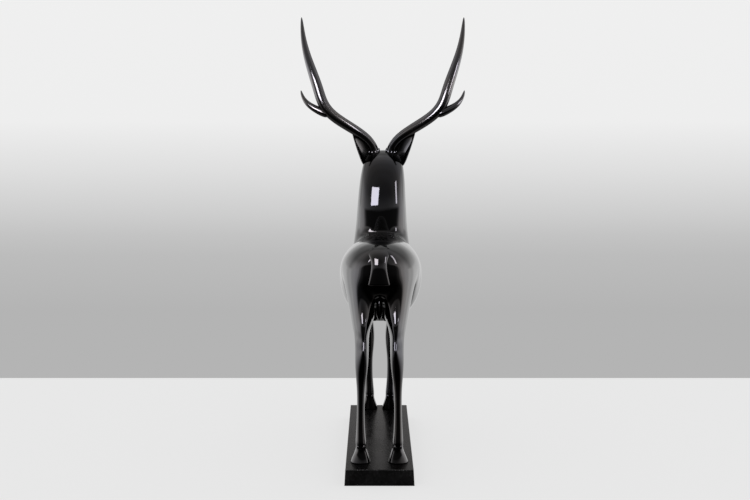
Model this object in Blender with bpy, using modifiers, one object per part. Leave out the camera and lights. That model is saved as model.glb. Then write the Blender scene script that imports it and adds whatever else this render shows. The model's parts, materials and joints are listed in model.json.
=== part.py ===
"""A standing stag in dark polished bronze on a long, low plinth.

The stag faces -Y, its own left side is +X, and the origin is the middle of the plinth's underside.
Its forms are rings lofted along the body, the legs, the tail, the ears and the antlers. Each ring
is given in hands, a share of the stag's own height, as a sculptor sets out a figure.
"""

import math

import bmesh
import bpy
from mathutils import Vector

# Driving dimensions, in metres
FIGURE_HEIGHT = 2.04  # from the soles to the tips of the antlers
PLINTH_HEIGHT = 0.0714
PLINTH_REAR_MARGIN = 0.075  # from the hind heels to the plinth's top edge
PLINTH_FRONT_MARGIN = 0.010  # from the fore toes to the plinth's top edge
PLINTH_SIDE_MARGIN = 0.022  # from the hind hooves to the plinth's top edge
PLINTH_DRAFT = 0.004  # how far each side leans out, from the top edge to the foot
PLINTH_EDGE = 0.0025  # width of the soft top edge
SOLE_GAP = 0.0003  # between the soles and the plinth
CLEFT_WIDTH = 0.005  # of the cleft at a hoof's toe

# The stag's own proportions, in hands
HANDS_TALL = 20.4
HAND = FIGURE_HEIGHT / HANDS_TALL
SOLE_LEVEL = PLINTH_HEIGHT + SOLE_GAP

TRUNK_SIDES = 12
LEG_SIDES = 8
EAR_SIDES = 10
ANTLER_SIDES = 6

# Forward, up, lean of the ring in degrees, half width, above and below its middle, how much of its
# width it keeps underneath, how much it is pinched beside the nape, or squared where that is under
# 0, and how far it stands to the stag's right
TRUNK = (
    (-4.96, 8.46, 4, 0.54, 0.98, 0.92, 0.4, 0, 0.02),  # rump
    (-4.58, 8.36, 2, 1.10, 1.32, 1.14, 0.1, 0, 0.02),
    (-3.72, 8.26, 0, 1.57, 1.50, 1.42, 0.2, 0, 0.02),  # croup
    (-2.57, 8.26, 0, 1.76, 1.50, 1.84, 0.5, 0, 0.04),
    (-1.45, 8.08, 0, 1.86, 1.62, 2.20, 0.95, 0, 0.06),  # loin
    (-0.35, 7.90, 0, 1.93, 1.76, 2.28, 1.0, 0, 0.08),
    (0.70, 7.80, 0, 1.90, 1.80, 2.36, 1.0, 0, 0.10),  # barrel
    (1.65, 7.78, 4, 1.82, 1.81, 2.42, 1.0, 0, 0.11),
    (2.40, 7.88, 14, 1.74, 1.74, 2.42, 0.95, 0, 0.12),  # withers
    (3.20, 8.36, 26, 1.66, 1.36, 2.40, 0.95, 0.25, 0.13),  # root of the neck
    (3.66, 9.40, 62, 1.42, 1.26, 1.80, 1.0, 0.35, 0.13),
    (3.84, 10.30, 78, 1.24, 1.36, 1.50, 1.0, -0.05, 0.14),
    (3.94, 11.20, 82, 1.18, 1.38, 1.30, 1.0, -0.24, 0.15),  # neck
    (4.06, 12.10, 74, 1.12, 1.24, 1.14, 1.0, -0.24, 0.18),
    (4.20, 12.80, 52, 1.00, 0.98, 1.12, 1.0, -0.24, 0.21),  # poll
    (4.62, 13.02, 14, 0.90, 0.62, 1.18, 0.85, -0.16, 0.24),
    (5.18, 12.92, -10, 0.78, 0.66, 1.00, 0.8, 0, 0.25),  # brow and jaw
    (5.72, 12.74, -18, 0.61, 0.58, 0.74, 0.8, 0, 0.26),
    (6.22, 12.52, -22, 0.46, 0.45, 0.54, 0.9, 0, 0.26),
    (6.72, 12.29, -24, 0.40, 0.37, 0.43, 1.0, 0, 0.26),  # nose
    (7.12, 12.11, -26, 0.37, 0.33, 0.37, 1.0, 0, 0.26),
    (7.36, 12.00, -26, 0.24, 0.20, 0.23, 1.0, 0, 0.26),  # muzzle
)
NECK_ROOT_AT = 9  # ring where the back ends and the neck rises
TRUNK_FULLNESS = 0.05  # how square the rings are between their top and their side
HIND_LEG_AT = 1  # ring where the thigh starts
FORE_LEG_AT = 7  # ring where the shoulder starts
LEG_FIRST_CORNER = 3  # corner of the ring, counted from the top of the back

# Up, side, half width, back of the leg, front of the leg, rise of the front over the back, and how
# much narrower the back is than the middle
HIND_LEG = (
    (6.62, 0.74, 0.61, -4.84, -1.95, 0.45, 0.15),  # thigh
    (6.15, 0.81, 0.44, -4.98, -2.80, 0.40, 0.30),
    (5.62, 0.80, 0.32, -4.88, -3.66, 0.10, 0.50),
    (5.14, 0.78, 0.31, -5.12, -4.16, -0.10, 0.50),  # hock
    (4.62, 0.79, 0.30, -5.00, -4.34, -0.05, 0.35),
    (4.10, 0.80, 0.26, -4.86, -4.36, 0.0, 0.10),
    (3.50, 0.81, 0.185, -4.78, -4.36, 0.0, 0.0),
    (2.80, 0.82, 0.162, -4.73, -4.33, 0.0, 0.0),  # cannon
    (2.00, 0.83, 0.170, -4.70, -4.28, 0.0, 0.0),
    (1.30, 0.83, 0.205, -4.72, -4.20, 0.0, 0.0),
    (0.95, 0.82, 0.245, -4.78, -4.14, 0.05, 0.0),  # fetlock
    (0.68, 0.82, 0.255, -4.66, -4.06, 0.05, 0.0),
    (0.34, 0.84, 0.335, -4.66, -3.96, -0.06, 0.0),  # coronet
    (0.0, 0.86, 0.415, -4.72, -3.76, 0.0, 0.0),  # sole
)
FORE_LEG = (
    (6.05, 1.02, 0.62, 3.20, 4.98, -0.35, 0.0),  # elbow
    (5.30, 0.86, 0.46, 3.62, 4.86, -0.15, 0.1),
    (4.60, 0.66, 0.36, 3.92, 4.78, 0.0, 0.1),
    (4.00, 0.58, 0.315, 4.08, 4.78, 0.0, 0.0),  # knee
    (3.50, 0.58, 0.285, 4.10, 4.72, 0.0, 0.0),
    (3.05, 0.585, 0.230, 4.20, 4.66, 0.0, 0.0),
    (2.50, 0.58, 0.200, 4.24, 4.64, 0.0, 0.0),  # cannon
    (1.80, 0.57, 0.200, 4.26, 4.66, 0.0, 0.0),
    (1.25, 0.545, 0.215, 4.26, 4.74, 0.0, 0.0),
    (0.95, 0.54, 0.250, 4.24, 4.82, 0.05, 0.0),  # fetlock
    (0.68, 0.54, 0.255, 4.36, 4.88, 0.05, 0.0),
    (0.34, 0.55, 0.335, 4.40, 5.08, -0.06, 0.0),  # coronet
    (0.0, 0.56, 0.415, 4.48, 5.38, 0.0, 0.0),  # sole
)
FORE_DRIFT = 0.06  # how far the fore legs stand to the stag's right
CLEFT_SHARE = 0.45  # of the hoof's length
CLEFT_HEIGHT = 0.50  # in hands

# Up, forward, half width, thickness
TAIL = (
    (9.30, -3.90, 0.42, 0.26),
    (9.50, -4.42, 0.54, 0.26),
    (9.34, -4.86, 0.44, 0.22),
    (9.02, -5.00, 0.32, 0.20),
    (8.60, -5.04, 0.36, 0.17),
    (8.06, -5.04, 0.47, 0.13),
)
TAIL_DRIFT = -0.02
PURSE_PLACE = (0.0, -3.80, 6.88)  # side, forward and up
PURSE_SIZE = (0.15, 0.26, 0.58)  # half width, half length and half height

HEAD_DRIFT = 0.24  # of the ears and the eyes
# Share of the ear's length, how far in the middle of the cup lies, half width and depth of the cup,
# and thickness of the rim
EAR = (
    (-0.20, 0.0, 0.26, 0.22, 0.18),
    (0.02, 0.02, 0.43, 0.36, 0.18),
    (0.26, 0.10, 0.43, 0.36, 0.13),
    (0.52, 0.13, 0.37, 0.30, 0.11),
    (0.78, 0.11, 0.23, 0.18, 0.10),
    (0.97, 0.03, 0.06, 0.06, 0.06),
)
EAR_ROOT = (0.72, 3.98, 13.04)  # side, forward and up
EAR_TIP = (1.60, 3.48, 14.56)
EAR_TURN = (0.20, -1.0, 0.10)  # the way the cup opens: out, forward and up

EYE_PLACE = (0.70, 5.20, 13.12)  # side, forward and up
EYE_SIZE = (0.12, 0.20, 0.13)

ANTLER_DRIFT = 0.19
# Side, forward, up, radius
BEAM = (
    (0.36, 4.30, 13.00, 0.25),
    (0.42, 4.18, 13.45, 0.29),  # burr
    (0.46, 4.12, 13.70, 0.24),
    (0.57, 4.02, 13.93, 0.23),
    (0.88, 3.80, 14.31, 0.24),
    (1.66, 3.35, 14.80, 0.26),
    (2.52, 3.07, 15.33, 0.27),
    (3.02, 2.98, 15.92, 0.26),
    (3.24, 3.02, 16.66, 0.235),
    (3.565, 3.16, 17.62, 0.205),
    (3.805, 3.38, 18.41, 0.16),
    (3.99, 3.68, 19.28, 0.11),
    (4.10, 4.00, 20.38, 0.045),
)
TINE = (
    (2.85, 3.02, 15.50, 0.16),
    (3.30, 3.02, 15.66, 0.17),
    (3.71, 3.08, 15.88, 0.14),
    (3.98, 3.22, 16.24, 0.09),
    (4.12, 3.42, 16.66, 0.035),
)
BROW_TINE = (
    (0.50, 4.02, 13.86, 0.12),
    (0.70, 4.50, 13.98, 0.15),
    (1.02, 5.20, 14.22, 0.13),
    (1.38, 5.80, 14.46, 0.10),
    (1.66, 6.20, 14.78, 0.035),
)


def clear_scene():
    for thing in list(bpy.data.objects):
        bpy.data.objects.remove(thing)


def collection(name):
    group = bpy.data.collections.new(name)
    bpy.context.scene.collection.children.link(group)
    return group


def spot(side, forward, up):
    """The world place of a point given in hands from the middle of the stance."""
    return Vector((side * HAND, -forward * HAND, SOLE_LEVEL + up * HAND))


def swell(sides):
    """How much wider a ring of so few corners is than the round that subdivision makes of it."""
    return 3 / (2 + math.cos(math.tau / sides))


def ring(bm, sides, place_corner):
    """A loop whose corners place_corner puts where they belong, given their angle."""
    corners = bmesh.ops.create_circle(bm, segments=sides, radius=1)["verts"]
    for index, corner in enumerate(corners):
        corner.co = place_corner(math.tau * index / sides)
    return corners


def loop_edges(bm, corners):
    return [bm.edges.get((a, b)) for a, b in zip(corners, corners[1:] + corners[:1])]


def bridge(bm, first, second):
    bmesh.ops.bridge_loops(bm, edges=loop_edges(bm, first) + loop_edges(bm, second))


def cap(bm, corners):
    bmesh.ops.contextual_create(bm, geom=corners)


def new_form():
    """An empty bmesh that can keep edges sharp under subdivision."""
    bm = bmesh.new()
    bm.edges.layers.float.new("crease_edge")
    return bm


def crease(bm, edges):
    layer = bm.edges.layers.float["crease_edge"]
    for edge in edges:
        edge[layer] = 1.0


def trunk_ring(bm, row):
    """A ring round the body, the neck or the head."""
    forward, up, lean, half_width, above, below, keel, pinch, drift = row
    lean = math.radians(lean)
    grow = swell(TRUNK_SIDES)

    def corner(angle):
        full = grow * (1 + TRUNK_FULLNESS * math.sin(2 * angle) ** 2)
        upright, sideways = math.cos(angle), math.sin(angle)
        if upright > 0 and pinch < 0:
            upright = upright ** (1 + pinch)
            sideways = math.copysign(abs(sideways) ** (1 + pinch), sideways)
        height = full * upright * (above if upright > 0 else below)
        height *= 1 - 0.3 * (1 - keel) * max(-upright, 0) ** 12
        narrowing = 1 - (1 - keel) * max(-upright, 0) ** 2
        beside_nape = max(abs(sideways) * 0.866 + upright * 0.5, 0) ** 8
        narrowing *= 1 - max(pinch, 0) * beside_nape
        side = full * sideways * half_width * narrowing
        ahead = forward - height * math.sin(lean)
        return spot(side - drift, ahead, up + height * math.cos(lean))

    return ring(bm, TRUNK_SIDES, corner)


def leg_ring(bm, row, hand_side, drift):
    """A ring round a leg. hand_side is 1 on the stag's left and -1 on its right."""
    up, side, half_width, back, front, rise, nip = row
    grow = swell(LEG_SIDES)
    middle = (back + front) / 2
    reach = (front - back) / 2 * grow

    def corner(angle):
        narrowing = 1 - nip * max(-math.sin(angle), 0)
        out = side + half_width * grow * math.cos(angle) * narrowing
        out -= 0.8 * nip * half_width * max(-math.sin(angle), 0)
        ahead = reach * math.sin(angle)
        height = up + rise / 2 * math.sin(angle)
        return spot(hand_side * out - drift, middle + ahead, height)

    return ring(bm, LEG_SIDES, corner)


def add_leg(bm, trunk, start, rows, hand_side, drift):
    """Opens the trunk over two rings and two sides, and lofts the leg down from the opening."""
    a, b, c = [hand_side * (LEG_FIRST_CORNER + step) for step in range(3)]
    back, middle, front = trunk[start : start + 3]
    patch = [
        bm.faces.get((here[left], here[right], there[right], there[left]))
        for here, there in ((back, middle), (middle, front))
        for left, right in ((a, b), (b, c))
    ]
    opening = [back[a], back[b], back[c], middle[c], front[c], front[b], front[a], middle[a]]
    bmesh.ops.delete(bm, geom=patch, context="FACES")
    last = opening
    for row in rows:
        new = leg_ring(bm, row, hand_side, drift)
        bridge(bm, last, new)
        last = new
    cap(bm, last)
    crease(bm, loop_edges(bm, last))


def finish_mesh(bm, name, group, levels=1):
    bmesh.ops.recalc_face_normals(bm, faces=bm.faces)
    mesh = bpy.data.meshes.new(name)
    bm.to_mesh(mesh)
    bm.free()
    mesh.shade_smooth()
    thing = bpy.data.objects.new(name, mesh)
    group.objects.link(thing)
    if levels:
        smooth = thing.modifiers.new("round", "SUBSURF")
        smooth.levels = smooth.render_levels = levels
    return thing


def make_trunk(group):
    bm = new_form()
    rings = [trunk_ring(bm, row) for row in TRUNK]
    for first, second in zip(rings, rings[1:]):
        bridge(bm, first, second)
    cap(bm, rings[0])
    cap(bm, rings[-1])
    root = rings[NECK_ROOT_AT]
    crease(bm, [bm.edges.get((root[i], root[i + 1])) for i in (-2, -1, 0, 1)])
    for hand_side in (1, -1):
        add_leg(bm, rings, HIND_LEG_AT, HIND_LEG, hand_side, 0)
        add_leg(bm, rings, FORE_LEG_AT, FORE_LEG, hand_side, FORE_DRIFT)
    return finish_mesh(bm, "deer", group)


def tube_ring(bm, centre, heading, radius, sides):
    turn = heading.to_track_quat("Z", "Y").to_matrix()
    reach = radius * HAND * swell(sides)

    def corner(angle):
        return centre + turn @ Vector((math.cos(angle), math.sin(angle), 0)) * reach

    return ring(bm, sides, corner)


def make_tube(name, rows, hand_side, group):
    """A tapered round branch through the rows' points."""
    bm = new_form()
    points = [spot(hand_side * row[0] - ANTLER_DRIFT, row[1], row[2]) for row in rows]
    last = None
    for index, row in enumerate(rows):
        before = points[max(index - 1, 0)]
        after = points[min(index + 1, len(points) - 1)]
        new = tube_ring(bm, points[index], after - before, row[3], ANTLER_SIDES)
        if last:
            bridge(bm, last, new)
        else:
            cap(bm, new)
        last = new
    cap(bm, last)
    return finish_mesh(bm, name, group)


def make_tail(group):
    bm = new_form()
    last = None
    for index, (up, forward, half_width, thick) in enumerate(TAIL):
        before = TAIL[max(index - 1, 0)]
        after = TAIL[min(index + 1, len(TAIL) - 1)]
        heading = math.atan2(after[0] - before[0], before[1] - after[1])
        if index == len(TAIL) - 1:
            heading = -math.pi / 2
        grow = swell(LEG_SIDES)

        def corner(angle):
            out = thick * grow * math.sin(angle)
            side = half_width * grow * math.cos(angle) - TAIL_DRIFT
            return spot(side, forward + out * math.sin(heading), up + out * math.cos(heading))

        new = ring(bm, LEG_SIDES, corner)
        if last:
            bridge(bm, last, new)
        else:
            cap(bm, new)
        last = new
    cap(bm, last)
    crease(bm, loop_edges(bm, last))
    return finish_mesh(bm, "tail", group)


def make_ear(name, hand_side, group):
    """A cupped leaf that opens backwards."""
    bm = new_form()
    root = spot(hand_side * EAR_ROOT[0] - HEAD_DRIFT, EAR_ROOT[1], EAR_ROOT[2])
    tip = spot(hand_side * EAR_TIP[0] - HEAD_DRIFT, EAR_TIP[1], EAR_TIP[2])
    along = (tip - root).normalized()
    facing = Vector((hand_side * EAR_TURN[0], -EAR_TURN[1], EAR_TURN[2]))
    facing = (facing - along * facing.dot(along)).normalized()
    across = along.cross(facing)
    half = EAR_SIDES // 2
    last = None
    for share, inward, half_width, depth, rim in EAR:
        centre = root + (tip - root) * share + across * hand_side * inward * HAND

        def corner(angle):
            index = round(angle / math.tau * EAR_SIDES)
            inner = index >= half
            step = index - half if inner else index
            turn = math.pi * step / (half - 1)
            if inner:
                turn = math.pi - turn
            wide = half_width - (rim / 2 if inner else 0)
            deep = depth - (rim if inner else 0)
            side = wide * math.cos(turn)
            back = deep * math.sin(turn)
            return centre + (across * side - facing * back) * HAND

        new = ring(bm, EAR_SIDES, corner)
        if last:
            bridge(bm, last, new)
        else:
            cap(bm, new)
        last = new
    cap(bm, last)
    return finish_mesh(bm, name, group)


def make_round(name, place, size, group):
    """A small egg-shaped swelling."""
    bm = bmesh.new()
    bmesh.ops.create_uvsphere(bm, u_segments=10, v_segments=6, radius=1)
    bmesh.ops.scale(bm, vec=Vector(size) * HAND, verts=bm.verts)
    bmesh.ops.translate(bm, vec=place, verts=bm.verts)
    return finish_mesh(bm, name, group, levels=0)


def make_cleft(name, rows, hand_side, drift, group):
    """A thin blade that splits the front of a hoof into two toes."""
    _, side, _, heel, toe, _, _ = rows[-1]
    inner = toe - (toe - heel) * CLEFT_SHARE
    bm = bmesh.new()
    bmesh.ops.create_cube(bm, size=1)
    for corner in bm.verts:
        ahead = toe + 1 if corner.co.y < 0 else inner
        height = CLEFT_HEIGHT if corner.co.z > 0 else -CLEFT_HEIGHT
        place = spot(hand_side * side - drift, ahead, height)
        corner.co = place + Vector((corner.co.x * CLEFT_WIDTH, 0, 0))
    return finish_mesh(bm, name, group, levels=0)


def make_plinth(group):
    """A block with a little draft, as wide and long as the stance and its margins."""
    soles = [rows[-1] for rows in (HIND_LEG, FORE_LEG)]
    half_width = (max(row[1] + row[2] for row in soles)) * HAND + PLINTH_SIDE_MARGIN
    rear = -soles[0][3] * HAND + PLINTH_REAR_MARGIN
    front = -soles[1][4] * HAND - PLINTH_FRONT_MARGIN
    bm = bmesh.new()
    bmesh.ops.create_cube(bm, size=1)
    for corner in bm.verts:
        spread = PLINTH_DRAFT if corner.co.z < 0 else 0
        corner.co.x = math.copysign(half_width + spread, corner.co.x)
        corner.co.y = rear + spread if corner.co.y > 0 else front - spread
        corner.co.z = 0 if corner.co.z < 0 else PLINTH_HEIGHT
    top = [edge for edge in bm.edges if all(v.co.z > PLINTH_HEIGHT / 2 for v in edge.verts)]
    bmesh.ops.bevel(
        bm, geom=top, offset=PLINTH_EDGE, segments=2, profile=0.5, affect="EDGES", material=-1
    )
    return finish_mesh(bm, "plinth", group, levels=0)


def bronze(name, colour, roughness):
    material = bpy.data.materials.new(name)
    material.use_nodes = True
    shader = material.node_tree.nodes["Principled BSDF"]
    shader.inputs["Base Color"].default_value = (*colour, 1)
    shader.inputs["Metallic"].default_value = 1.0
    shader.inputs["Roughness"].default_value = roughness
    return material


def apply_helper(body, helper, operation):
    helper.hide_render = True
    helper.display_type = "WIRE"
    joint = body.modifiers.new(helper.name, "BOOLEAN")
    joint.operation = operation
    joint.object = helper


def main():
    clear_scene()
    parts = collection("bronze_deer")
    helpers = collection("deer_helpers")
    deer = make_trunk(parts)
    additions = [make_tail(helpers), make_round("purse", spot(*PURSE_PLACE), PURSE_SIZE, helpers)]
    clefts = []
    for word, hand_side in (("left", 1), ("right", -1)):
        side, forward, up = EYE_PLACE
        eye = spot(hand_side * side - HEAD_DRIFT, forward, up)
        additions.append(make_round(f"eye_{word}", eye, EYE_SIZE, helpers))
        additions.append(make_ear(f"ear_{word}", hand_side, helpers))
        for branch, rows in (("beam", BEAM), ("tine", TINE), ("brow_tine", BROW_TINE)):
            additions.append(make_tube(f"{branch}_{word}", rows, hand_side, helpers))
        for leg, rows, drift in (("hind", HIND_LEG, 0), ("fore", FORE_LEG, FORE_DRIFT)):
            clefts.append(make_cleft(f"cleft_{leg}_{word}", rows, hand_side, drift, helpers))
    for addition in additions:
        apply_helper(deer, addition, "UNION")
    for cleft in clefts:
        apply_helper(deer, cleft, "DIFFERENCE")
    deer.data.materials.append(bronze("dark_polished_bronze", (0.018, 0.018, 0.020), 0.10))
    plinth = make_plinth(parts)
    plinth.data.materials.append(bronze("satin_bronze", (0.045, 0.045, 0.048), 0.32))


main()
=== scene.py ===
import json
import math

import bmesh
import bpy
import numpy as np
from mathutils import Matrix, Vector

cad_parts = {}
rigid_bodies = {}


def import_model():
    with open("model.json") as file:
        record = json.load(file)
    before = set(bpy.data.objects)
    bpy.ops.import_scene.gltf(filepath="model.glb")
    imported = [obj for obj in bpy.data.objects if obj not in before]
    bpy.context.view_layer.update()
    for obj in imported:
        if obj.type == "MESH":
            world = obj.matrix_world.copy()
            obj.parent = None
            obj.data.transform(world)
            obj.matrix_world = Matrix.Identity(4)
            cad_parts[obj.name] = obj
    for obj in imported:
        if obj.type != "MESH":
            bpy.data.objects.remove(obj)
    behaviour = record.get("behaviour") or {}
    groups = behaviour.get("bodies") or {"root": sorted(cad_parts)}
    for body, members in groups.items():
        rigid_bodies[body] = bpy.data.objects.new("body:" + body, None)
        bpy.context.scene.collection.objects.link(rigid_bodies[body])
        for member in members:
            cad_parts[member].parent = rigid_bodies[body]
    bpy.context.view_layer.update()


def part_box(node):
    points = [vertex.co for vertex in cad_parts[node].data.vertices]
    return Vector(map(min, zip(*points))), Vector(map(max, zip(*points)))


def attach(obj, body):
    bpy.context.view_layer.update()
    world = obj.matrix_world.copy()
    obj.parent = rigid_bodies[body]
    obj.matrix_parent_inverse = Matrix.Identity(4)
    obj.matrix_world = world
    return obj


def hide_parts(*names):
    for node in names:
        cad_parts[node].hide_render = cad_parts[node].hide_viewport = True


bl_info = {
    "name": "Polished Bronze Stag",
    "version": (1, 0, 0),
    "blender": (4, 5, 0),
    "location": "3D View > Sidebar > Stag",
    "description": "A standing stag in dark polished bronze on a long, low plinth",
    "category": "Add Mesh",
}

for thing in list(bpy.data.objects):
    bpy.data.objects.remove(thing)
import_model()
PLINTH_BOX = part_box("plinth")

# A hand is the stag's own measure: its height from the soles to the antler tips is 20.4 of them.
# The stag's lengths are in hands, and its heights are counted from the soles.
HANDS_TALL = 20.4
SOLE_CLEARANCE = 0.0003  # in metres, between the soles and the plinth
SIDES = (("left", 1), ("right", -1))  # the stag's own, and the sign of what lies there
TRUNK_SIDES = 12
LEG_SIDES = 8

# Forward, up, lean of the ring in degrees, half width, above and below its middle, how much of its
# width it keeps underneath, how much it is pinched beside the nape, or squared where that is under
# 0, and how far it stands to the stag's right
TRUNK = (
    (-4.96, 8.46, 4, 0.54, 0.98, 0.92, 0.4, 0, 0.02),  # rump
    (-4.58, 8.36, 2, 1.10, 1.32, 1.14, 0.1, 0, 0.02),
    (-3.72, 8.26, 0, 1.57, 1.50, 1.42, 0.2, 0, 0.02),  # croup
    (-2.57, 8.26, 0, 1.76, 1.50, 1.84, 0.5, 0, 0.04),
    (-1.45, 8.08, 0, 1.86, 1.62, 2.20, 0.95, 0, 0.06),  # loin
    (-0.35, 7.90, 0, 1.93, 1.76, 2.28, 1.0, 0, 0.08),
    (0.70, 7.80, 0, 1.90, 1.80, 2.36, 1.0, 0, 0.10),  # barrel
    (1.65, 7.78, 4, 1.82, 1.81, 2.42, 1.0, 0, 0.11),
    (2.40, 7.88, 14, 1.74, 1.74, 2.42, 0.95, 0, 0.12),  # withers
    (3.20, 8.36, 28, 1.66, 1.39, 2.40, 0.95, 0.25, 0.13),  # root of the neck
    (3.66, 9.40, 62, 1.42, 1.29, 1.80, 1.0, 0.20, 0.13),
    (3.84, 10.30, 78, 1.24, 1.36, 1.50, 1.0, -0.22, 0.14),
    (3.94, 11.20, 82, 1.18, 1.38, 1.30, 1.0, -0.24, 0.15),  # neck
    (4.06, 12.10, 74, 1.12, 1.24, 1.14, 1.0, -0.24, 0.18),
    (4.20, 12.80, 52, 1.00, 0.98, 1.12, 1.0, -0.24, 0.21),  # poll
    (4.62, 13.02, 14, 0.90, 0.62, 1.18, 0.85, -0.16, 0.24),
    (5.18, 12.92, -10, 0.78, 0.66, 1.00, 0.8, 0, 0.25),  # brow and jaw
    (5.72, 12.74, -18, 0.61, 0.58, 0.74, 0.8, 0, 0.26),
    (6.22, 12.52, -22, 0.46, 0.45, 0.54, 0.9, 0, 0.26),
    (6.72, 12.29, -24, 0.40, 0.37, 0.43, 1.0, 0, 0.26),  # nose
    (7.12, 12.11, -26, 0.37, 0.33, 0.37, 1.0, 0, 0.26),
    (7.35, 12.00, -26, 0.24, 0.20, 0.23, 1.0, 0, 0.26),  # muzzle
)
NECK_ROOT_AT = 9  # ring where the back ends and the neck rises
NECK_ROOT_FOLD = 0.9  # how sharp the fold across the top of that ring is
TRUNK_FULLNESS = 0.05  # how square the rings are between their top and their side
KEEL_LIFT = 0.3  # how far the lowest corner is lifted where a ring has no width left underneath
KEEL_LIFT_POWER = 12  # keeps the lift to that corner
NAPE_PLACE = (0.866, 0.5)  # where the rings are pinched: sideways and upright, on a round of 1
NAPE_PINCH_POWER = 8  # keeps the pinch to that place
HIND_LEG_AT = 1  # ring where the thigh starts
FORE_LEG_AT = 7  # ring where the shoulder starts
LEG_FIRST_CORNER = 3  # first of the three corners that a leg opens over, counted from the top

# How far the parts stand to the stag's right
HIND_DRIFT = 0
FORE_DRIFT = 0.06
TAIL_DRIFT = -0.02
HEAD_DRIFT = 0.24
ANTLER_DRIFT = 0.19

# Up, side, half width, back of the leg, front of the leg, rise of the front over the back, and how
# much narrower the back is than the middle
HIND_LEG = (
    (6.62, 0.74, 0.61, -4.84, -1.95, 0.45, 0.15),  # thigh
    (6.15, 0.81, 0.44, -4.98, -2.80, 0.40, 0.30),
    (5.62, 0.80, 0.32, -4.88, -3.66, 0.10, 0.50),
    (5.14, 0.78, 0.31, -5.12, -4.16, -0.10, 0.50),  # hock
    (4.62, 0.79, 0.30, -5.00, -4.34, -0.05, 0.35),
    (4.10, 0.80, 0.26, -4.86, -4.36, 0.0, 0.10),
    (3.50, 0.81, 0.185, -4.78, -4.36, 0.0, 0.0),
    (2.80, 0.82, 0.162, -4.73, -4.33, 0.0, 0.0),  # cannon
    (2.00, 0.83, 0.170, -4.70, -4.28, 0.0, 0.0),
    (1.30, 0.83, 0.205, -4.72, -4.20, 0.0, 0.0),
    (0.95, 0.82, 0.245, -4.78, -4.14, 0.05, 0.0),  # fetlock
    (0.68, 0.80, 0.225, -4.66, -4.06, 0.05, 0.0),
    (0.34, 0.81, 0.335, -4.66, -3.96, -0.06, 0.0),  # coronet
    (0.0, 0.835, 0.445, -4.72, -3.76, 0.0, 0.0),  # sole
)
FORE_LEG = (
    (6.05, 1.02, 0.62, 3.20, 4.98, -0.35, 0.0),  # elbow
    (5.30, 0.86, 0.46, 3.62, 4.86, -0.15, 0.1),
    (4.60, 0.66, 0.36, 3.92, 4.78, 0.0, 0.1),
    (4.00, 0.58, 0.315, 4.08, 4.78, 0.0, 0.0),  # knee
    (3.50, 0.58, 0.285, 4.10, 4.72, 0.0, 0.0),
    (3.05, 0.585, 0.230, 4.20, 4.66, 0.0, 0.0),
    (2.50, 0.58, 0.200, 4.24, 4.64, 0.0, 0.0),  # cannon
    (1.80, 0.57, 0.200, 4.26, 4.66, 0.0, 0.0),
    (1.25, 0.545, 0.215, 4.26, 4.74, 0.0, 0.0),
    (0.95, 0.54, 0.250, 4.24, 4.82, 0.05, 0.0),  # fetlock
    (0.68, 0.54, 0.225, 4.36, 4.88, 0.05, 0.0),
    (0.34, 0.55, 0.335, 4.40, 5.08, -0.06, 0.0),  # coronet
    (0.0, 0.56, 0.435, 4.48, 5.38, 0.0, 0.0),  # sole
)
LEGS = (
    ("hind", HIND_LEG, HIND_LEG_AT, HIND_DRIFT),
    ("fore", FORE_LEG, FORE_LEG_AT, FORE_DRIFT),
)
LEG_BACK_SHIFT = 0.8  # how far the narrow back of a leg lies inwards, as a share of what it lost
HOOF_TOP = 0.7  # the leg grows squarer from here down to the sole
HOOF_SQUARENESS = 0.45

TAIL_SIDES = 8

# Up, forward, half width, thickness
TAIL = (
    (9.30, -3.90, 0.42, 0.26),
    (9.50, -4.42, 0.54, 0.26),
    (9.34, -4.86, 0.44, 0.22),
    (9.02, -5.00, 0.32, 0.20),
    (8.60, -5.04, 0.36, 0.17),
    (8.06, -5.04, 0.47, 0.13),
)
PURSE_PLACE = (0.0, -3.80, 6.88)  # side, forward and up
PURSE_SIZE = (0.15, 0.26, 0.58)  # half width, half length and half height

EAR_SIDES = 18
EAR_SMOOTHNESS = 2

# Share of the ear's length, how far in the middle of the cup lies, half width and depth of the cup,
# and thickness of the rim
EAR = (
    (-0.20, 0.0, 0.26, 0.22, 0.18),
    (0.02, 0.02, 0.43, 0.36, 0.16),
    (0.26, 0.10, 0.43, 0.36, 0.09),
    (0.52, 0.13, 0.37, 0.30, 0.07),
    (0.78, 0.11, 0.23, 0.18, 0.06),
    (0.97, 0.03, 0.06, 0.06, 0.05),
)
EAR_ROOT = (0.72, 3.98, 13.04)  # side, forward and up
EAR_TIP = (1.60, 3.48, 14.56)
EAR_WAY = (-0.35, -1.0, 0.30)  # the way the cup opens: out, forward and up
EAR_FILLING = 0.6  # how much shallower the hollow is towards the tip
EAR_FILLED_AT = 0.5  # share of the length from where it is as shallow as that

EYE_PLACE = (0.70, 5.20, 13.12)  # side, forward and up
EYE_SIZE = (0.12, 0.20, 0.13)
EYE_WAY = (1.0, 0.16, 0.25)  # the way the eye looks: out, forward and up
ROUND_SIDES = 32  # of the eyes and the purse
LID_RADIUS = 0.19
LID_THICKNESS = 0.035  # radius of the rim's section
LID_STRETCH = (1.12, 0.72, 1.0)  # how the rim is drawn out of the round
LID_LIFT = 0.035  # how far the rim stands out from the middle of the eye
LID_SIDES = 12
LID_STEPS = 32

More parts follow.
